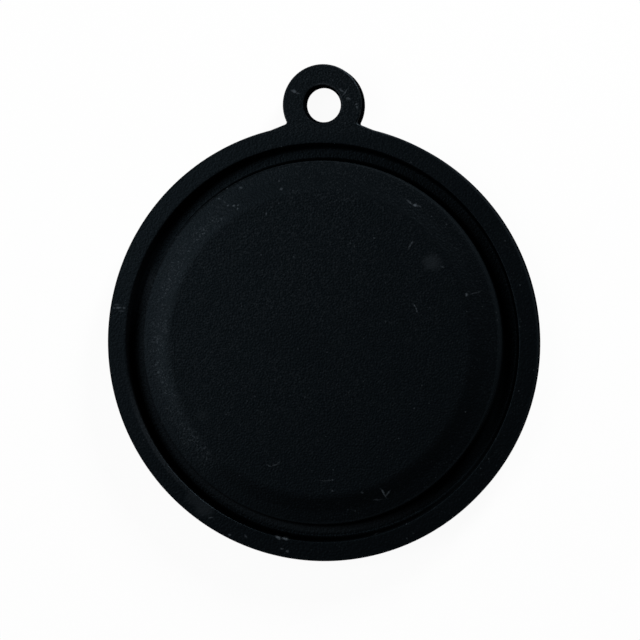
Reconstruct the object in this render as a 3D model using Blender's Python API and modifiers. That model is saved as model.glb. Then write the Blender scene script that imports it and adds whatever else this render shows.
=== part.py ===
# Rubber diaphragm of a water pressure switch, moulded in one piece.
# Lengths are in metres. +Z is up and +Y runs towards the ear.
# The disc lies on its plain face at Z = 0, with the grooved face up.
import math

import bmesh
import bpy
from mathutils import Vector

PART_NAME = "rubber_diaphragm"

# Rim that the two halves of the switch housing clamp
rim_radius = 0.0270
rim_thickness = 0.0030
rim_width = 0.0024
outer_edge_round = 0.00025
inner_edge_round = 0.0001

# Groove that lets the centre move up and down
groove_width = 0.0023
rim_side_lean = 0.0002
groove_corner_round = 0.0005
web_thickness = 0.0008

# Raised centre that pushes the switch's plate, with a narrow land round its shoulder
plateau_edge_rise = 0.0007
plateau_edge_round = 0.0002
plateau_side_lean = 0.0004
land_width = 0.0016
land_rise = 0.0002
shoulder_width = 0.0018
shoulder_rise = 0.0004
shoulder_round = 0.0040

# Ear with the hole for the pressure port, which is narrowest halfway down
ear_radius = 0.00495
ear_stand_off = 0.0024
ear_hole_radius = 0.0021
ear_hole_flare = 0.0003
ear_root_round = 0.0003
gusset_rise = 0.0004
gusset_reach = 0.0022

# Rubber that the turned body and the rim share inside the rim, where nobody sees it
joint_overlap = 0.0006

# Look of the rubber
rubber_color = (0.012, 0.014, 0.017, 1.0)
rubber_roughness = 0.62
rubber_metallic = 0.0

# Fineness of the round forms
turn_steps = 120
rim_outline_steps = 108
ear_outline_steps = 26
hole_steps = 36
corner_steps = 3

# Height of the hole's former beyond the ear's faces
former_margin = 0.0005

# Largest share of a side that a rounded corner may take, and the gap that welding closes
corner_share = 0.45
weld_distance = 0.000002

# Places that follow from the sizes above
rim_inner_radius = rim_radius - rim_width
plateau_radius = rim_inner_radius - groove_width
land_inner_radius = plateau_radius - land_width
flat_centre_radius = land_inner_radius - shoulder_width
plateau_edge_height = rim_thickness + plateau_edge_rise
land_inner_height = plateau_edge_height + land_rise
plateau_top_height = land_inner_height + shoulder_rise
rim_middle_radius = rim_radius - rim_width / 2
ear_distance = rim_radius + ear_stand_off


def clear_scene():
    for item in list(bpy.data.objects):
        bpy.data.objects.remove(item, do_unlink=True)


def new_collection(name, is_helper):
    collection = bpy.data.collections.new(name)
    bpy.context.scene.collection.children.link(collection)
    collection.hide_render = is_helper
    return collection


def rubber_material():
    material = bpy.data.materials.new("black_rubber")
    material.use_nodes = True
    shader = material.node_tree.nodes["Principled BSDF"]
    shader.inputs["Base Color"].default_value = rubber_color
    shader.inputs["Roughness"].default_value = rubber_roughness
    shader.inputs["Metallic"].default_value = rubber_metallic
    return material


def arc(centre, radius, start, end, steps):
    """Points on an arc about centre, from the angle start to the angle end."""
    points = []
    for step in range(steps + 1):
        angle = start + (end - start) * step / steps
        points.append(centre + radius * Vector((math.cos(angle), math.sin(angle))))
    return points


def rounded_corner(before, corner, after, radius):
    """Points that replace a corner by an arc, limited by the shorter side."""
    towards_before = (before - corner).normalized()
    towards_after = (after - corner).normalized()
    half_angle = towards_before.angle(towards_after) / 2
    side = min((before - corner).length, (after - corner).length)
    setback = min(radius / math.tan(half_angle), corner_share * side)
    reach = setback / math.cos(half_angle)
    centre = corner + (towards_before + towards_after).normalized() * reach
    first = corner + towards_before * setback - centre
    last = corner + towards_after * setback - centre
    turn = first.angle_signed(last)
    points = []
    for step in range(corner_steps + 1):
        angle = -turn * step / corner_steps
        cosine = math.cos(angle)
        sine = math.sin(angle)
        turned = Vector((first.x * cosine - first.y * sine, first.x * sine + first.y * cosine))
        points.append(centre + turned)
    return points


def turned_section():
    """Half section of the turned body, as radius and height, from the top centre to the bottom."""
    joint_radius = rim_middle_radius + joint_overlap / 2
    corners = [
        (0.0, plateau_top_height, 0.0),
        (flat_centre_radius, plateau_top_height, shoulder_round),
        (land_inner_radius, land_inner_height, shoulder_round),
        (plateau_radius, plateau_edge_height, plateau_edge_round),
        (plateau_radius + plateau_side_lean, web_thickness, groove_corner_round),
        (rim_inner_radius - rim_side_lean, web_thickness, groove_corner_round),
        (rim_inner_radius, rim_thickness, inner_edge_round),
        (joint_radius, rim_thickness, 0.0),
        (joint_radius, 0.0, 0.0),
        (0.0, 0.0, 0.0),
    ]
    places = [Vector((radius, height)) for radius, height, edge_round in corners]
    section = []
    for number, (radius, height, edge_round) in enumerate(corners):
        if edge_round:
            before, here, after = places[number - 1:number + 2]
            section += rounded_corner(before, here, after, edge_round)
        else:
            section.append(places[number])
    return section


def turned_solid(name, section, steps, collection):
    """A closed solid: a half section turned about its object's Z axis."""
    mesh = bpy.data.meshes.new(name)
    profile = bmesh.new()
    points = [profile.verts.new((point.x, 0.0, point.y)) for point in section]
    for first, second in zip(points, points[1:]):
        profile.edges.new((first, second))
    profile.to_mesh(mesh)
    profile.free()
    solid = bpy.data.objects.new(name, mesh)
    collection.objects.link(solid)
    screw = solid.modifiers.new("turn", "SCREW")
    screw.axis = "Z"
    screw.angle = math.tau
    screw.steps = steps
    screw.render_steps = steps
    screw.use_merge_vertices = True
    screw.merge_threshold = weld_distance
    screw.use_smooth_shade = False
    return solid


def hole_former(collection):
    """The form that the ear's hole is cut with: a waist halfway down, wider at both faces."""
    middle = rim_thickness / 2
    reach = middle + former_margin
    end_radius = ear_hole_radius + ear_hole_flare * reach / middle
    section = [
        Vector((0.0, middle + reach)),
        Vector((end_radius, middle + reach)),
        Vector((ear_hole_radius, middle)),
        Vector((end_radius, middle - reach)),
        Vector((0.0, middle - reach)),
    ]
    former = turned_solid("hole_former", section, hole_steps, collection)
    former.location = (0.0, ear_distance, 0.0)
    return former


def ear_root_angle():
    """Angle at the disc's axis between +Y and the place where the ear leaves its gusset."""
    reach = rim_radius + gusset_rise
    cosine = (ear_distance ** 2 + reach ** 2 - ear_radius ** 2) / (2 * ear_distance * reach)
    return math.acos(cosine)


def rim_outline():
    """Outer edge of the rim and the ear, counter-clockwise from the gusset on the +X side."""
    axis = Vector((0.0, 0.0))
    ear_centre = Vector((0.0, ear_distance))
    root_angle = ear_root_angle()
    foot_angle = root_angle + gusset_reach / rim_radius
    root_reach = rim_radius + gusset_rise
    root = root_reach * Vector((math.sin(root_angle), math.cos(root_angle)))
    lean = math.atan2(root.y - ear_centre.y, root.x)
    ear = arc(ear_centre, ear_radius, lean, math.pi - lean, ear_outline_steps)
    rim_start = math.pi / 2 + foot_angle
    rim_end = math.pi / 2 - foot_angle + math.tau
    rim = arc(axis, rim_radius, rim_start, rim_end, rim_outline_steps)
    mirrored_root = Vector((-root.x, root.y))
    right_root = rounded_corner(rim[-1], root, ear[1], ear_root_round)
    left_root = rounded_corner(ear[-2], mirrored_root, rim[0], ear_root_round)
    return rim + right_root + ear[1:-1] + left_root


def closed_spline(curve, points):
    spline = curve.splines.new("POLY")
    spline.points.add(len(points) - 1)
    for place, point in zip(spline.points, points):
        place.co = (point.x, point.y, 0.0, 1.0)
    spline.use_cyclic_u = True


def rim_with_ear(collection):
    """The rim and its ear: one flat outline with an opening for the turned body."""
    curve = bpy.data.curves.new("rim_outline", "CURVE")
    curve.dimensions = "2D"
    curve.fill_mode = "BOTH"
    curve.extrude = rim_thickness / 2 - outer_edge_round
    curve.bevel_depth = outer_edge_round
    curve.bevel_resolution = 1
    curve.offset = -outer_edge_round
    opening_radius = rim_middle_radius - joint_overlap / 2
    opening = arc(Vector((0.0, 0.0)), opening_radius, math.tau, 0.0, turn_steps)
    closed_spline(curve, rim_outline())
    closed_spline(curve, opening[:-1])
    outline = bpy.data.objects.new("rim_outline", curve)
    outline.location = (0.0, 0.0, rim_thickness / 2)
    collection.objects.link(outline)
    return mesh_of_curve(outline, "rim_with_ear", collection)


def mesh_of_curve(outline, name, collection):
    """Turn a curve object into a closed mesh object and remove the curve."""
    bpy.context.view_layer.update()
    graph = bpy.context.evaluated_depsgraph_get()
    mesh = bpy.data.meshes.new_from_object(outline.evaluated_get(graph))
    welded = bmesh.new()
    welded.from_mesh(mesh)
    bmesh.ops.remove_doubles(welded, verts=welded.verts, dist=weld_distance)
    bmesh.ops.recalc_face_normals(welded, faces=welded.faces)
    welded.to_mesh(mesh)
    welded.free()
    solid = bpy.data.objects.new(name, mesh)
    solid.matrix_world = outline.matrix_world
    collection.objects.link(solid)
    bpy.data.objects.remove(outline, do_unlink=True)
    return solid


def combine(body, other, operation):
    """Add another solid to the body or cut it out, and close the seam."""
    other.display_type = "WIRE"
    other.hide_render = True
    change = body.modifiers.new(operation.lower() + "_" + other.name, "BOOLEAN")
    change.operation = operation
    change.solver = "EXACT"
    change.object = other
    seam = body.modifiers.new("close_the_seam", "WELD")
    seam.merge_threshold = weld_distance


def build():
    clear_scene()
    parts = new_collection("pressure_switch_diaphragm", False)
    helpers = new_collection("forms_for_the_body", True)
    # The groove, the web and the raised centre are turned about the disc's axis
    body = turned_solid(PART_NAME, turned_section(), turn_steps, parts)
    combine(body, rim_with_ear(helpers), "UNION")
    combine(body, hole_former(helpers), "DIFFERENCE")
    body.data.materials.append(rubber_material())


build()
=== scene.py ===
# %% [markdown]
# # Rubber diaphragm of a pressure switch
# This soft black disc sits between the two halves of a water pressure switch. Water pushes
# its plain face, the groove flexes, and the raised centre lifts the switch's plate.
# It is moulded in one piece, so the whole part is one mesh with one finish.
# The imported part comes in first, so that the detailed piece can take its node's place.

# %% Bring in the imported part
import math

import bmesh
import bpy
from mathutils import Matrix, Vector


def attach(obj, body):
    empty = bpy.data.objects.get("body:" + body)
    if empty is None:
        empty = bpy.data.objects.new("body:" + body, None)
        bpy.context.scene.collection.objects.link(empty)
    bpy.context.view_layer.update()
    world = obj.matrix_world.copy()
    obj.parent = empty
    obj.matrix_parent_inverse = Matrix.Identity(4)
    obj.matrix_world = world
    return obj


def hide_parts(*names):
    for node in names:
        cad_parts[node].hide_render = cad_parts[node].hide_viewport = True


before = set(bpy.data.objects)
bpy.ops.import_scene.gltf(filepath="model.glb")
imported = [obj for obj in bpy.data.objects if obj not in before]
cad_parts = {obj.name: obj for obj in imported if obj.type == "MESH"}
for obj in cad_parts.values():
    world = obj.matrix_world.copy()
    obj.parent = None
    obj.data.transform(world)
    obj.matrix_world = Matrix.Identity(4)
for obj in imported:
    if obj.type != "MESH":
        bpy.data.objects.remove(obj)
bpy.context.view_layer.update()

MM = 0.001

# %% [markdown]
# ## Ways of working
# Blender's operators act on whatever is selected. Each step therefore clears the selection
# and picks its own vertices, edges or faces by their place. These helpers keep that short.

# %% Helpers that open, close and select
same_place = 0.001 * MM
close_by = 0.002 * MM


def clear_selection():
    if bpy.context.object and bpy.context.object.mode == "EDIT":
        bpy.ops.object.mode_set(mode="OBJECT")
    bpy.ops.object.select_all(action="DESELECT")


def open_piece(piece, kind="VERT"):
    """Start modelling on a piece, with nothing selected in it."""
    clear_selection()
    piece.select_set(True)
    bpy.context.view_layer.objects.active = piece
    bpy.ops.object.mode_set(mode="EDIT")
    bpy.ops.mesh.select_mode(type=kind)
    bpy.ops.mesh.select_all(action="DESELECT")


def close_piece():
    bpy.ops.object.mode_set(mode="OBJECT")


def pick(piece, kind, test):
    """Select the vertices, edges or faces of the opened piece that pass the test."""
    bpy.ops.mesh.select_mode(type=kind)
    bpy.ops.mesh.select_all(action="DESELECT")
    mesh = bmesh.from_edit_mesh(piece.data)
    parts = {"VERT": mesh.verts, "EDGE": mesh.edges, "FACE": mesh.faces}[kind]
    chosen = [part for part in parts if test(part)]
    for part in chosen:
        part.select_set(True)
    mesh.select_flush_mode()
    bmesh.update_edit_mesh(piece.data)
    return len(chosen)


def near(place, other):
    return (place - Vector(other)).length < close_by


# %% [markdown]
# ## Half section of the centre
# On the real part the mould is turned on a lathe, so the groove and the raised centre are
# round. One half of the section says it all: a flat top, a soft shoulder, a narrow land, the
# groove with its thin web, and the rim's inner edge.
# A chain of vertices is drawn by extruding one vertex from corner to corner. A lathe would
# do the same with its tool, and a chain is easier to change than a finished surface.

# %% Sizes of the section
turn_steps = 240
rim_radius = 27.0 * MM
rim_top = 3.0 * MM
joint_radius = 24.9 * MM
# Each corner has a name, a radius, a height and a rounding, in millimetres
section_corners = [
    ("middle of the top", 0.0, 4.3, 0.0),
    ("top of the shoulder", 18.9, 4.3, 4.0),
    ("foot of the shoulder", 20.7, 3.9, 4.0),
    ("edge of the land", 22.3, 3.7, 0.08),
    ("inner foot of the groove", 22.7, 0.8, 0.5),
    ("outer foot of the groove", 24.4, 0.8, 0.5),
    ("inner edge of the rim", 24.6, 3.0, 0.12),
    ("joint with the rim plate", 24.9, 3.0, 0.0),
]


def section_place(radius, height):
    return Vector((radius * MM, 0.0, height * MM))


# %% Draw the chain
bpy.ops.object.select_all(action="DESELECT")
bpy.ops.mesh.primitive_plane_add(size=MM)
centre = bpy.context.object
centre.name = "turned_centre"
open_piece(centre)
bpy.ops.mesh.select_all(action="SELECT")
bpy.ops.mesh.merge(type="CENTER")
pen = Vector((0.0, 0.0, 0.0))
first = section_place(*section_corners[0][1:3])
bpy.ops.transform.translate(value=first - pen)
pen = first
for title, radius, height, edge_round in section_corners[1:]:
    target = section_place(radius, height)
    bpy.ops.mesh.extrude_region_move(TRANSFORM_OT_translate={"value": target - pen})
    pen = target
print("corners of the section:", len(bmesh.from_edit_mesh(centre.data).verts))

# %% [markdown]
# ## Round the corners
# Moulded rubber has no knife edges. Each corner gets its own radius while it is still a
# vertex of the chain, because a vertex bevel on a flat chain is an exact arc.

# %% Bevel each corner by its own radius
corner_segments = 6
largest_share = 0.45
places = [section_place(corner[1], corner[2]) for corner in section_corners]
for number, (title, radius, height, edge_round) in enumerate(section_corners):
    if not edge_round:
        continue
    to_before = places[number - 1] - places[number]
    to_after = places[number + 1] - places[number]
    half_angle = to_before.angle(to_after) / 2
    side = min(to_before.length, to_after.length)
    setback = min(edge_round * MM / math.tan(half_angle), largest_share * side)
    pick(centre, "VERT", lambda vertex: near(vertex.co, places[number]))
    bpy.ops.mesh.bevel(offset=setback, segments=corner_segments, profile=0.5, affect="VERTICES")
    print(title, "setback in mm:", round(setback / MM, 3))

# %% [markdown]
# ## Turn the section
# The chain is spun about the disc's axis, as a lathe would turn it. A plain disc as wide as
# the joint makes the underside. Vertices that share a place are merged, which closes the
# pole at the top.

# %% Spin the chain and lay the underside
bpy.ops.mesh.select_all(action="SELECT")
bpy.ops.mesh.spin(steps=turn_steps, angle=math.tau, center=(0, 0, 0), axis=(0, 0, 1))
bpy.ops.mesh.select_all(action="DESELECT")
bpy.ops.mesh.primitive_circle_add(vertices=turn_steps, radius=joint_radius, fill_type="TRIFAN")
bpy.ops.mesh.select_all(action="SELECT")
bpy.ops.mesh.remove_doubles(threshold=same_place)
close_piece()
print("turned centre:", len(centre.data.vertices), "vertices")

# %% [markdown]
# ## Half outline of the rim and the ear
# The rim is a flat ring that the switch's housing clamps, with a round ear for the pressure
# port. Both are one flat plate, the same on the left and right. Half of its outline is
# drawn from four circles, cut where they meet, and joined by short edges.
# Half a plate is one simple face. A whole one would be a face with holes, which a mesh
# doesn't have.

# %% Circles of the outline
ear_centre = Vector((0.0, 29.4 * MM, 0.0))
ear_radius = 4.95 * MM
hole_mouth_radius = 2.4 * MM
hole_waist_radius = 2.1 * MM
ear_steps = 120
hole_steps = 72
bpy.ops.object.select_all(action="DESELECT")
bpy.ops.mesh.primitive_circle_add(vertices=turn_steps, radius=rim_radius)
plate = bpy.context.object
plate.name = "rim_plate"
open_piece(plate)
bpy.ops.mesh.primitive_circle_add(vertices=turn_steps, radius=joint_radius)
bpy.ops.mesh.primitive_circle_add(vertices=ear_steps, radius=ear_radius, location=ear_centre)
bpy.ops.mesh.primitive_circle_add(vertices=hole_steps, radius=hole_mouth_radius, location=ear_centre)

# %% Where the ear meets its gusset
gusset_rise = 0.4 * MM
gusset_reach = 2.2 * MM
root_reach = rim_radius + gusset_rise
ear_distance = ear_centre.y
cosine = (ear_distance ** 2 + root_reach ** 2 - ear_radius ** 2) / (2 * ear_distance * root_reach)
root_angle = math.acos(cosine)
foot_angle = root_angle + gusset_reach / rim_radius
root = Vector((root_reach * math.sin(root_angle), root_reach * math.cos(root_angle), 0.0))
foot = Vector((rim_radius * math.sin(foot_angle), rim_radius * math.cos(foot_angle), 0.0))
print("root and foot of the gusset in mm:", [round(value / MM, 2) for value in (*root, *foot)])

# %% Cut the circles
axis_place = Vector((0.0, 0.0, 0.0))
room_for_foot = 0.05 * MM
room_for_root = 0.5 * MM


def on_circle(vertex, middle, radius):
    return abs((vertex.co - middle).length - radius) < close_by


def is_cut_away(vertex):
    if vertex.co.x < -same_place:
        return True
    if on_circle(vertex, ear_centre, hole_mouth_radius):
        return False
    if on_circle(vertex, axis_place, rim_radius):
        return vertex.co.y > foot.y - room_for_foot
    if on_circle(vertex, ear_centre, ear_radius):
        return vertex.co.y < root.y + room_for_root
    return False


pick(plate, "VERT", is_cut_away)
bpy.ops.mesh.delete(type="VERT")
# The rim's circle passes the hole's lowest point and leaves a second vertex there
bpy.ops.mesh.select_all(action="SELECT")
bpy.ops.mesh.remove_doubles(threshold=same_place)

# %% Join the ends by edges
def nearest(piece, place):
    mesh = bmesh.from_edit_mesh(piece.data)
    return min(mesh.verts, key=lambda vertex: (vertex.co - place).length).co.copy()


def join_by_edge(first, second):
    """An edge between the vertices that lie nearest to two places."""
    ends = (nearest(plate, first), nearest(plate, second))
    pick(plate, "VERT", lambda vertex: any(near(vertex.co, end) for end in ends))
    bpy.ops.mesh.edge_face_add()


pen = nearest(plate, foot)
pick(plate, "VERT", lambda vertex: near(vertex.co, pen))
for corner in (foot, root):
    bpy.ops.mesh.extrude_region_move(TRANSFORM_OT_translate={"value": corner - pen})
    pen = corner
start_of_ear = root + Vector((0.2 * MM, 0.6 * MM, 0.0))
join_by_edge(root, start_of_ear)
forward = Vector((0.0, 1.0, 0.0))
join_by_edge(ear_centre + forward * ear_radius, ear_centre + forward * hole_mouth_radius)
join_by_edge(ear_centre - forward * hole_mouth_radius, forward * joint_radius)
join_by_edge(-forward * joint_radius, -forward * rim_radius)

# %% Soften the root of the ear and fill the outline
round_segments = 5
root_setback = 0.28 * MM
pick(plate, "VERT", lambda vertex: near(vertex.co, root))
bpy.ops.mesh.bevel(offset=root_setback, segments=round_segments, affect="VERTICES")
bpy.ops.mesh.select_all(action="SELECT")
bpy.ops.mesh.edge_face_add()
print("faces of the half outline:", len(bmesh.from_edit_mesh(plate.data).faces))

# %% [markdown]
# ## Give the plate its thickness
# The face is extruded twice, to half the rim's thickness and then to the whole. The ring
# that this leaves halfway down the hole is drawn in to the hole's waist: the pins that
# mould such a hole taper towards each other and meet there.

# %% Extrude in two steps and draw in the hole's waist
room_round_hole = 0.01 * MM
half_thickness = Vector((0.0, 0.0, rim_top / 2))
bpy.ops.mesh.select_all(action="SELECT")
bpy.ops.mesh.extrude_region_move(TRANSFORM_OT_translate={"value": half_thickness})
bpy.ops.mesh.extrude_region_move(TRANSFORM_OT_translate={"value": half_thickness})


def is_in_hole(vertex):
    to_hole = vertex.co - ear_centre
    return math.hypot(to_hole.x, to_hole.y) < hole_mouth_radius + room_round_hole


def is_halfway(vertex):
    return abs(vertex.co.z - rim_top / 2) < same_place


waist_count = pick(plate, "VERT", lambda vertex: is_in_hole(vertex) and is_halfway(vertex))
print("vertices of the waist:", waist_count)
waist = hole_waist_radius / hole_mouth_radius
bpy.ops.transform.resize(value=(waist, waist, 1.0), center_override=ear_centre + half_thickness)

# %% [markdown]
# ## Open the joints and round the edges
# The wall at the middle plane and the wall towards the turned centre go away again, because
# the mirrored half and the turned centre continue there. The sharp edges outside get the
# small round that a mould leaves. The mouths of the hole get a smaller one.

# %% Open the joints
def flat_radius(place):
    return math.hypot(place.x, place.y)


def is_joint_wall(face):
    middle = face.calc_center_median()
    at_middle_plane = all(abs(vertex.co.x) < same_place for vertex in face.verts)
    is_upright = abs(face.normal.z) < 0.5
    at_joint = is_upright and flat_radius(middle) < joint_radius + same_place
    return at_middle_plane or at_joint


pick(plate, "FACE", is_joint_wall)
bpy.ops.mesh.delete(type="FACE")


# %% Round the edges
outer_round = 0.25 * MM
mouth_round = 0.12 * MM


def is_corner_edge(edge):
    """A level edge between a wall and a flat side."""
    level = abs(edge.verts[0].co.z - edge.verts[1].co.z) < same_place
    return level and len(edge.link_faces) == 2 and not is_halfway(edge.verts[0])


def is_mouth_edge(edge):
    return is_corner_edge(edge) and all(is_in_hole(vertex) for vertex in edge.verts)


def is_outer_edge(edge):
    return is_corner_edge(edge) and not is_mouth_edge(edge)


for test, edge_round in ((is_outer_edge, outer_round), (is_mouth_edge, mouth_round)):
    print(test.__name__, pick(plate, "EDGE", test))
    bpy.ops.mesh.bevel(offset=edge_round, segments=round_segments, profile=0.5, affect="EDGES")
close_piece()

# %% Mirror the half plate
half_to_whole = plate.modifiers.new("other_half", "MIRROR")
half_to_whole.use_axis = (True, False, False)
half_to_whole.merge_threshold = same_place
bpy.ops.object.modifier_apply(modifier=half_to_whole.name)
print("plate:", len(plate.data.vertices), "vertices")

# %% [markdown]
# ## One piece of rubber
# The turned centre and the rim plate have the same number of steps where they meet, so the
# seam closes by merging vertices that share a place. Normals are recalculated once, after
# that. Weighted normals then keep the flat faces flat and let the small rounds carry the
# shine.

# %% Join the two and close the seam
clear_selection()
plate.select_set(True)
centre.select_set(True)
bpy.context.view_layer.objects.active = centre
bpy.ops.object.join()
diaphragm = bpy.context.object
diaphragm.name = "diaphragm"
open_piece(diaphragm)
bpy.ops.mesh.select_all(action="SELECT")
bpy.ops.mesh.remove_doubles(threshold=same_place)
bpy.ops.mesh.select_all(action="SELECT")
bpy.ops.mesh.normals_make_consistent(inside=False)
open_edges = pick(diaphragm, "EDGE", lambda edge: len(edge.link_faces) != 2)
close_piece()
print("open edges:", open_edges, "faces:", len(diaphragm.data.polygons))

# %% Shade by angle
clear_selection()
diaphragm.select_set(True)
bpy.context.view_layer.objects.active = diaphragm
bpy.ops.object.shade_smooth_by_angle(angle=math.radians(40))
bpy.ops.object.modifier_add(type="WEIGHTED_NORMAL")
diaphragm.modifiers[-1].keep_sharp = True
bpy.ops.object.modifier_apply(modifier=diaphragm.modifiers[-1].name)

# %% [markdown]
# ## Shader arithmetic
# The rubber's look is worked out from places on the disc. A small class wraps a socket, so
# that masks can be written as sums and products, and each expression adds its own nodes.
# Any other node comes from one method that sets the node's choices first and its sockets next.

# %% A socket that takes part in arithmetic
class Wire:
    def __init__(self, tree, socket):
        self.tree = tree
        self.socket = socket

    def node(self, kind, settings, sockets, output=0):
        """A new node: its settings, then the values or wires of its sockets."""
        made = self.tree.nodes.new("ShaderNode" + kind)
        for name, value in settings.items():
            setattr(made, name, value)
        for name, value in sockets.items():
            if isinstance(value, Wire):
                self.tree.links.new(value.socket, made.inputs[name])
            else:
                made.inputs[name].default_value = value
        return Wire(self.tree, made.outputs[output])

    def math(self, operation, first, second=0.0):
        return self.node("Math", {"operation": operation}, {0: first, 1: second})

    def __add__(self, other):
        return self.math("ADD", self, other)

    def __sub__(self, other):
        return self.math("SUBTRACT", self, other)

    def __mul__(self, other):
        return self.math("MULTIPLY", self, other)

    def __pow__(self, other):
        return self.math("POWER", self, other)

    def larger(self, other):
        return self.math("MAXIMUM", self, other)

    def magnitude(self):
        return self.math("ABSOLUTE", self)

    def length_with(self, other):
        return (self * self + other * other) ** 0.5

    def rise(self, start, end):
        """Goes smoothly from 0 at start to 1 at end."""
        ends = {"Value": self, "From Min": start, "From Max": end}
        return self.node("MapRange", {"interpolation_type": "SMOOTHSTEP"}, ends)


# %% [markdown]
# ## Start the rubber
# Patterns follow the piece through Object coordinates, turned into millimetres once. The
# base shader keeps the values that are the same all over. Carbon black makes the rubber
# take in nearly all light, so both its colour and its specular level are very low.

# %% Rubber shader and its coordinates
rubber = bpy.data.materials.new("black_rubber")
rubber.use_nodes = True
tree = rubber.node_tree
shader = tree.nodes["Principled BSDF"]
specular_level = 0.089
shader.inputs["Specular IOR Level"].default_value = specular_level
shader.inputs["Specular Tint"].default_value = (0.54, 0.80, 1.0, 1.0)
start = Wire(tree, None)
place = start.node("TexCoord", {}, {}, output="Object")
place = place.node("Mapping", {}, {"Vector": place, "Scale": (1 / MM, 1 / MM, 1 / MM)})
across = place.node("SeparateXYZ", {}, {"Vector": place}, output="X")
along = place.node("SeparateXYZ", {}, {"Vector": place}, output="Y")
height = place.node("SeparateXYZ", {}, {"Vector": place}, output="Z")
from_axis = across.length_with(along)


def cloud(grain_size, detail, roughness=0.5, seed=0.0):
    """Soft noise whose grains are about that many millimetres wide."""
    sockets = {
        "Vector": place,
        "W": seed,
        "Scale": 1 / grain_size,
        "Detail": detail,
        "Roughness": roughness,
    }
    return place.node("TexNoise", {"noise_dimensions": "4D"}, sockets)


# %% [markdown]
# ## Grain, dust and painted light
# The moulded skin is pebbled, with lumps about a quarter of a millimetre wide that catch the
# light. Talc from the box lies on it as a thin film, wiped thin on the rim and the shoulder,
# and the film is painted denser towards the upper left as painted light, where the lamps make
# the disc brighter. Talc also lies there as tiny pale specks. Caked talc specks on the left of
# the shoulder, where the lamps shine on it, also make a painted highlight. A paler near left
# half of the groove's floor is painted light where light runs along the groove. The rim's inner
# edge is paler at the lower left. The upper right of the hole's mouth has a painted highlight.
# Specks come from a cell pattern whose cells are lit by chance.

# %% Grain and masks
pebbles = cloud(0.24, 0.0)
pores = cloud(0.20, 1.0, 0.6, 3.0)
crumbs = cloud(0.24, 1.0, 0.6, 17.0)
patches = cloud(6.0, 3.0, 0.55, 7.0)
upper_side = height.rise(1.5, 2.5)
# Painted light: a gradient that is higher towards the upper left, where the lamps make the disc brighter
painted_light_upper_left = ((along - across) * 0.8).rise(-28.0, 28.0)


def specks(spacing, share, size, seed):
    """Small dots: one in each cell that chance lights, as a share of all cells."""
    shifted = place.node("Mapping", {}, {"Vector": place, "Location": (seed, seed * 0.7, 0.0)})
    cells = {"Vector": shifted, "Scale": 1 / spacing}
    distance = place.node("TexVoronoi", {}, cells, output="Distance")
    chance = place.node("TexVoronoi", {}, cells, output="Color")
    chance = place.node("SeparateColor", {}, {"Color": chance}, output="Red")
    return distance.rise(size, size * 0.4) * chance.rise(1 - share, 1 - share * 0.6)


def ring(inner, outer, blur):
    """A round band between two radii, in millimetres, with blurred edges."""
    return from_axis.rise(inner - blur, inner + blur) * from_axis.rise(outer + blur, outer - blur)


def towards(angle, spread):
    """One in that direction from the disc's axis, falling to zero at the spread, in degrees."""
    angle = math.radians(angle)
    ahead = across * math.cos(angle) + along * math.sin(angle)
    return (ahead - from_axis * math.cos(math.radians(spread))).rise(0.0, 3.0)


# %% Film, talc and painted light
on_rim = from_axis.rise(24.2, 24.6) * along.rise(26.5, 25.0) * upper_side
wiped = on_rim * 0.6 + ring(18.9, 20.7, 0.5) * 0.5
# The talc film, with painted light that makes it denser towards the upper left
talc_film_and_painted_light = pores.rise(0.48, 0.74) * patches.rise(0.0, 0.8) * (painted_light_upper_left * 1.2 + 0.2)
talc_film_and_painted_light = talc_film_and_painted_light - talc_film_and_painted_light * wiped
talc = specks(0.30, 0.35, 0.45, 1.0) * patches.rise(0.2, 0.7)
caked = crumbs.rise(0.44, 0.66) * 0.11 + crumbs.rise(0.58, 0.70) * 0.24
tufts = cloud(1.2, 1.0, 0.5, 21.0).rise(0.3, 0.65)
# Talc specks and a painted highlight: caked pale specks massed on the lamp-facing left of the shoulder
shoulder_talc_and_painted_highlight = caked * (tufts * 0.8 + 0.3) * ring(19.0, 21.1, 0.8) * towards(178, 56)
bright_specks = specks(0.9, 0.2, 0.14, 5.0)
# A paler band on the rim's inner edge at the lower left
pale_inner_edge_lower_left = ring(24.5, 25.1, 0.15) * towards(213, 24) * pores.rise(0.2, 0.6)
from_hole = across.length_with(along - ear_centre.y / MM)
mouth = from_hole.rise(2.65, 2.5)
far_side = (across + along - ear_centre.y / MM).rise(0.5, 2.5)
groove_floor = ring(22.9, 23.7, 0.2) * height.rise(0.2, 0.6)
# Painted light: the near left half of the groove's floor is lightened where light runs along the groove
painted_light_on_groove_floor = groove_floor * towards(235, 80) * (pores.rise(0.2, 0.6) * 0.8 + 0.2)
# Painted highlight: a pale arc on the upper right of the hole's mouth, where its bevel faces the lamps
mouth_painted_highlight = mouth * from_hole.rise(2.3, 2.4) * far_side * pores.rise(0.2, 0.6)
# The pale dust and specks, together with the painted light and painted highlights above
dust_and_painted_light = talc_film_and_painted_light * 0.11 + talc * 0.05 + shoulder_talc_and_painted_highlight + bright_specks * 0.2
dust_and_painted_light = dust_and_painted_light + pale_inner_edge_lower_left * 0.15 + mouth_painted_highlight * 0.2

# %% [markdown]
# ## Marks from handling
# The real disc has a few pale scuffs, short fibres and dots. Each is a short stroke with
# soft, ragged ends, kept as its place, length, turn, width and strength and grouped by where
# it lies. The places are shifted a little by noise first, so that no stroke is straight.

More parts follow.
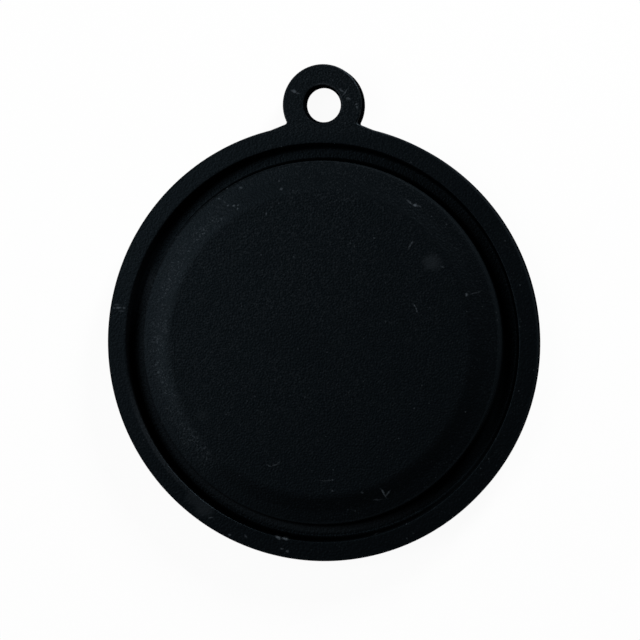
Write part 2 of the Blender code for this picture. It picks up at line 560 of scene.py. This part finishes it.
# %% Strokes, in millimetres and degrees
strokes = {
    "scuff on the left of the rim": [
        (-26.2, 4.0, 0.3, 0, 0.22, 0.5),
        (-25.6, 4.0, 0.5, 0, 0.25, 0.8),
        (-24.9, 4.0, 0.3, 0, 0.22, 0.5),
        (-25.8, 4.4, 0.6, 5, 0.15, 0.3),
        (-25.2, 3.6, 0.6, -5, 0.17, 0.4),
    ],
    "scuff on the near part of the rim": [
        (-4.9, -24.2, 0.6, -20, 0.35, 0.9),
        (-4.0, -24.3, 0.7, -12, 0.30, 0.9),
        (-4.4, -25.6, 0.3, 0, 0.22, 0.5),
        (-3.7, -25.9, 0.3, 0, 0.25, 0.6),
        (-13.5, -22.0, 0.5, 5, 0.17, 0.5),
        (-11.0, -24.1, 0.3, 30, 0.25, 0.5),
        (-9.0, -24.2, 0.4, -60, 0.20, 0.35),
    ],
    "dots at the upper left of the centre": [
        (-11.5, 16.8, 0.2, 0, 0.20, 0.5),
        (-10.7, 16.8, 0.25, 60, 0.25, 0.8),
        (-10.2, 16.9, 0.2, 0, 0.20, 0.6),
        (-10.2, 16.5, 0.2, 0, 0.20, 0.6),
        (-12.6, 17.7, 0.4, -35, 0.17, 0.5),
        (-12.0, 17.3, 0.3, -40, 0.15, 0.4),
        (-11.7, 19.0, 0.2, 0, 0.22, 0.5),
        (-9.9, 19.1, 0.3, 0, 0.27, 0.5),
        (-4.8, 18.9, 0.3, 10, 0.27, 0.6),
        (-5.1, 19.9, 0.3, 30, 0.20, 0.4),
        (-6.6, 15.8, 0.2, 0, 0.27, 0.5),
        (-7.2, 10.8, 0.2, 0, 0.20, 0.4),
        (-3.1, 10.6, 0.2, 40, 0.20, 0.4),
        (-19.1, 15.2, 0.3, 0, 0.25, 0.4),
    ],
    "fibres at the upper right of the centre": [
        (11.1, 17.4, 0.9, -35, 0.14, 0.5),
        (11.8, 17.0, 0.4, 0, 0.27, 0.8),
        (12.2, 16.9, 0.6, 0, 0.12, 0.4),
        (11.3, 12.0, 0.5, 62, 0.14, 0.6),
        (11.5, 12.4, 0.4, 48, 0.12, 0.5),
        (4.4, 12.0, 0.5, -80, 0.12, 0.3),
        (6.9, 13.0, 0.2, 0, 0.22, 0.3),
        (15.3, 9.5, 0.4, -15, 0.15, 0.4),
        (12.0, 4.8, 0.4, -50, 0.12, 0.6),
        (12.2, 4.3, 0.6, -70, 0.14, 0.6),
        (18.3, 6.2, 0.25, 70, 0.27, 0.6),
        (19.3, 6.4, 1.2, 22, 0.12, 0.25),
    ],
    "fibres near the front of the centre": [
        (8.4, -18.2, 1.1, -60, 0.15, 0.8),
        (8.9, -18.2, 0.9, 55, 0.14, 0.6),
        (7.7, -19.0, 1.1, 6, 0.12, 0.3),
        (2.1, -16.7, 0.2, 0, 0.20, 0.5),
        (2.1, -18.1, 0.2, 0, 0.25, 0.5),
        (5.8, -18.2, 0.2, 0, 0.22, 0.3),
        (1.3, -16.8, 1.5, 8, 0.11, 0.3),
        (7.3, -23.3, 0.6, 25, 0.20, 0.6),
        (-5.9, -15.2, 0.6, -20, 0.12, 0.4),
        (-5.2, -15.1, 0.6, 15, 0.12, 0.4),
        (-4.7, -14.8, 0.5, 45, 0.12, 0.4),
    ],
    "specks on the ear": [
        (-3.5, 31.0, 0.5, -15, 0.32, 0.8),
        (-3.0, 30.8, 0.5, -10, 0.15, 0.4),
        (2.4, 31.1, 0.6, -40, 0.17, 0.6),
        (2.8, 30.8, 0.75, 50, 0.15, 0.6),
        (3.3, 30.1, 0.5, 0, 0.27, 0.5),
        (4.3, 29.4, 0.4, 20, 0.15, 0.7),
        (4.4, 29.0, 0.4, -80, 0.14, 0.5),
    ],
}

# %% Draw the strokes
shift_across = (cloud(0.5, 2.0, 0.6, 11.0) - 0.5) * 0.5
shift_along = (cloud(0.5, 2.0, 0.6, 13.0) - 0.5) * 0.5
ragged_across = across + shift_across
ragged_along = along + shift_along


def stroke_mask(x, y, length, turn, width, strength):
    turn = math.radians(turn)
    right = ragged_across - x
    up = ragged_along - y
    lengthways = right * math.cos(turn) + up * math.sin(turn)
    sideways = up * math.cos(turn) - right * math.sin(turn)
    squeezed = lengthways * (width / length)
    return squeezed.length_with(sideways).rise(width * 0.85, width * 0.1) * strength


marks = 0.0
for group, rows in strokes.items():
    for row in rows:
        marks = stroke_mask(*row).larger(marks)
    print(group + ":", len(rows), "strokes")

# %% Smudges
# Each smudge has a place, a radius in millimetres and a strength
smudges = [
    (14.0, 10.1, 1.6, 1.0),
    (-14.4, -9.2, 1.2, 0.4),
    (-15.7, -19.6, 1.5, 0.7),
    (-14.3, -20.9, 1.7, 1.0),
]
haze = 0.0
for x, y, radius, strength in smudges:
    soft_spot = (ragged_across - x).length_with((ragged_along - y) * 1.2).rise(radius, radius * 0.3)
    haze = soft_spot * strength + haze

# %% [markdown]
# ## Put the finish together
# Only the base colour, the roughness and the bumps change over the surface. The rim is a
# little smoother than the centre, as if pressed flat by the housing. The land's edge,
# the rim's outer edge and the hole's mouth are worn duller, so that no thin bright line runs
# along them.

# %% Colour, roughness and bump
rubber_black = (0.0006, 0.0009, 0.0012, 1.0)
# This grey carries the real dust and marks, and also the painted light and painted highlights
grey_of_dust_and_painted_light = (0.060, 0.072, 0.084, 1.0)
broken_marks = marks * (pores.rise(0.2, 0.5) * 0.5 + 0.3)
# The pale share: dust and marks, with the painted light on the groove's floor
pale_dust_and_painted_light = (dust_and_painted_light + broken_marks + haze * 0.08) * upper_side + painted_light_on_groove_floor * 0.12
colours = {0: pale_dust_and_painted_light, 6: rubber_black, 7: grey_of_dust_and_painted_light}
colour = place.node("Mix", {"data_type": "RGBA"}, colours, output=2)
tree.links.new(colour.socket, shader.inputs["Base Color"])
worn_edges = ring(22.1, 22.5, 0.1) + ring(26.75, 27.5, 0.05) * along.rise(26.0, 25.0) + mouth
roughness = pores * 0.08 + 0.41 - on_rim * 0.05 + worn_edges * upper_side * 0.4
tree.links.new(roughness.socket, shader.inputs["Roughness"])
pebble_height = 0.04 * MM
relief = pebbles - pebbles * on_rim * 0.35
bump = {"Height": relief, "Strength": 1.0, "Distance": pebble_height}
bumped = place.node("Bump", {}, bump)
tree.links.new(bumped.socket, shader.inputs["Normal"])

# %% [markdown]
# ## Dull side walls
# The flash that the mould leaves round the rim, the ear and the hole is ground off, so those
# walls are rough and show no shine. They are told from the faces by their level normals,
# and from the walls of the groove by their distance from the axis.

# %% Side walls without shine
facing = place.node("NewGeometry", {}, {}, output="Normal")
upright_share = place.node("SeparateXYZ", {}, {"Vector": facing}, output="Z")
is_wall = upright_share.magnitude().rise(0.5, 0.3)
outside_groove = from_axis.rise(25.4, 25.6)
dull = place.node("BsdfDiffuse", {}, {"Color": rubber_black, "Roughness": 1.0})
skin = Wire(tree, shader.outputs[0])
surface = place.node("MixShader", {}, {0: is_wall * outside_groove, 1: skin, 2: dull})
tree.links.new(surface.socket, tree.nodes["Material Output"].inputs["Surface"])
diaphragm.data.materials.clear()
diaphragm.data.materials.append(rubber)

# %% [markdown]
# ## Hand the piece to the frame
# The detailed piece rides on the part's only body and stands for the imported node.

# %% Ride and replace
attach(diaphragm, "root")
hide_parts("rubber_diaphragm")

# %% [markdown]
# ## A pale floor
# The disc lies on a plain pale sheet that turns up at its border. The sheet glows white to
# the camera for most of its brightness and still shows the disc's soft shadow. It lies a
# hair under the disc, so that the sheet and the plain underside don't share one plane.

# %% Floor
floor_radius = 1.6
cove_width = 0.5
cove_rise = 0.25
hair = 0.03 * MM
clear_selection()
bpy.ops.mesh.primitive_circle_add(vertices=96, radius=floor_radius, fill_type="NGON")
floor = bpy.context.object
floor.name = "floor"
open_piece(floor, "FACE")
bpy.ops.mesh.select_all(action="SELECT")
bpy.ops.mesh.inset(thickness=cove_width)
pick(floor, "VERT", lambda vertex: vertex.co.length > floor_radius - cove_width / 2)
bpy.ops.transform.translate(value=(0.0, 0.0, cove_rise))
bpy.ops.mesh.select_all(action="SELECT")
bpy.ops.transform.translate(value=(0.0, 0.0, -hair))
close_piece()
bpy.ops.object.shade_smooth()
sheet = bpy.data.materials.new("pale_sheet")
sheet.use_nodes = True
sheet_tree = sheet.node_tree
paper = sheet_tree.nodes["Principled BSDF"]
paper.inputs["Base Color"].default_value = (0.9, 0.9, 0.9, 1.0)
paper.inputs["Roughness"].default_value = 0.9
paper.inputs["Specular IOR Level"].default_value = 0.1
paper_wire = Wire(sheet_tree, paper.outputs[0])

# %% White to the eye and in reflections
seen_directly = 0.0
for ray in ("Is Transmission Ray", "Is Glossy Ray", "Is Camera Ray"):
    seen_directly = paper_wire.node("LightPath", {}, {}, output=ray).larger(seen_directly)
white_share = 0.95
white = paper_wire.node("Emission", {}, {"Color": (1.0, 1.0, 1.0, 1.0), "Strength": 1.0})
mixed = paper_wire.node("MixShader", {}, {0: seen_directly * white_share, 1: paper_wire, 2: white})
sheet_tree.links.new(mixed.socket, sheet_tree.nodes["Material Output"].inputs["Surface"])
floor.data.materials.append(sheet)

# %% [markdown]
# ## Soft studio light
# Three soft lamps on the left draw the shoulder and the groove, and the highest of them
# lifts the flat faces. A low one at the upper right lights the slopes that turn away from
# them. Together the four light a white sheet to about white.

# %% Lamps
def place_on_dome(azimuth, elevation, distance):
    azimuth = math.radians(azimuth)
    elevation = math.radians(elevation)
    level = math.cos(elevation)
    return distance * Vector((level * math.cos(azimuth), level * math.sin(azimuth), math.sin(elevation)))


lamp_distance = 0.40
# Each lamp has a name, an azimuth and an elevation in degrees, a side in metres and its watts
lamps = [
    ("left", 165, 50, 0.15, 0.23),
    ("high_upper_left", 150, 60, 0.15, 0.22),
    ("lower_left", 195, 35, 0.15, 0.37),
    ("low_upper_right", 60, 20, 0.10, 2.4),
]
for name, azimuth, elevation, side, power in lamps:
    lamp = bpy.data.lights.new(name, "AREA")
    lamp.size = side
    lamp.energy = power
    holder = bpy.data.objects.new(name, lamp)
    holder.location = place_on_dome(azimuth, elevation, lamp_distance)
    holder.rotation_euler = (-holder.location).to_track_quat("-Z", "Y").to_euler()
    holder.visible_camera = False
    bpy.context.scene.collection.objects.link(holder)

# %% World
world = bpy.data.worlds.new("studio")
bpy.context.scene.world = world
world.use_nodes = True
world_tree = world.node_tree
room_glow = 0.02
room = world_tree.nodes["Background"]
room.inputs["Color"].default_value = (1.0, 1.0, 1.0, 1.0)
room.inputs["Strength"].default_value = room_glow
room_wire = Wire(world_tree, room.outputs[0])
room_rays = room_wire.node("LightPath", {}, {}, output="Is Camera Ray")
backdrop = room_wire.node("Background", {}, {"Color": (1.0, 1.0, 1.0, 1.0), "Strength": 1.0})
seen_room = room_wire.node("MixShader", {}, {0: room_rays, 1: room_wire, 2: backdrop})
world_tree.links.new(seen_room.socket, world_tree.nodes["World Output"].inputs["Surface"])

# %% [markdown]
# ## Camera
# The photograph was taken from above, a little to the right, from about 25 cm.

# %% Camera
camera_place = Vector((0.043, 0.008, 0.250))
camera_aim = Vector((-0.00045, 0.00278, 0.0))
camera_roll = math.radians(-0.67)
look = (camera_aim - camera_place).normalized()
upright = Vector((math.sin(camera_roll), math.cos(camera_roll), 0.0))
right = look.cross(upright).normalized()
upright = right.cross(look)
lens = bpy.data.cameras.new("camera")
lens.lens = 114.4
lens.sensor_width = 36.0
lens.clip_start = 0.01
camera = bpy.data.objects.new("camera", lens)
camera.location = camera_place
camera.rotation_euler = Matrix((right, upright, -look)).transposed().to_euler()
bpy.context.scene.collection.objects.link(camera)
bpy.context.scene.camera = camera
bpy.context.scene.view_settings.view_transform = "Standard"
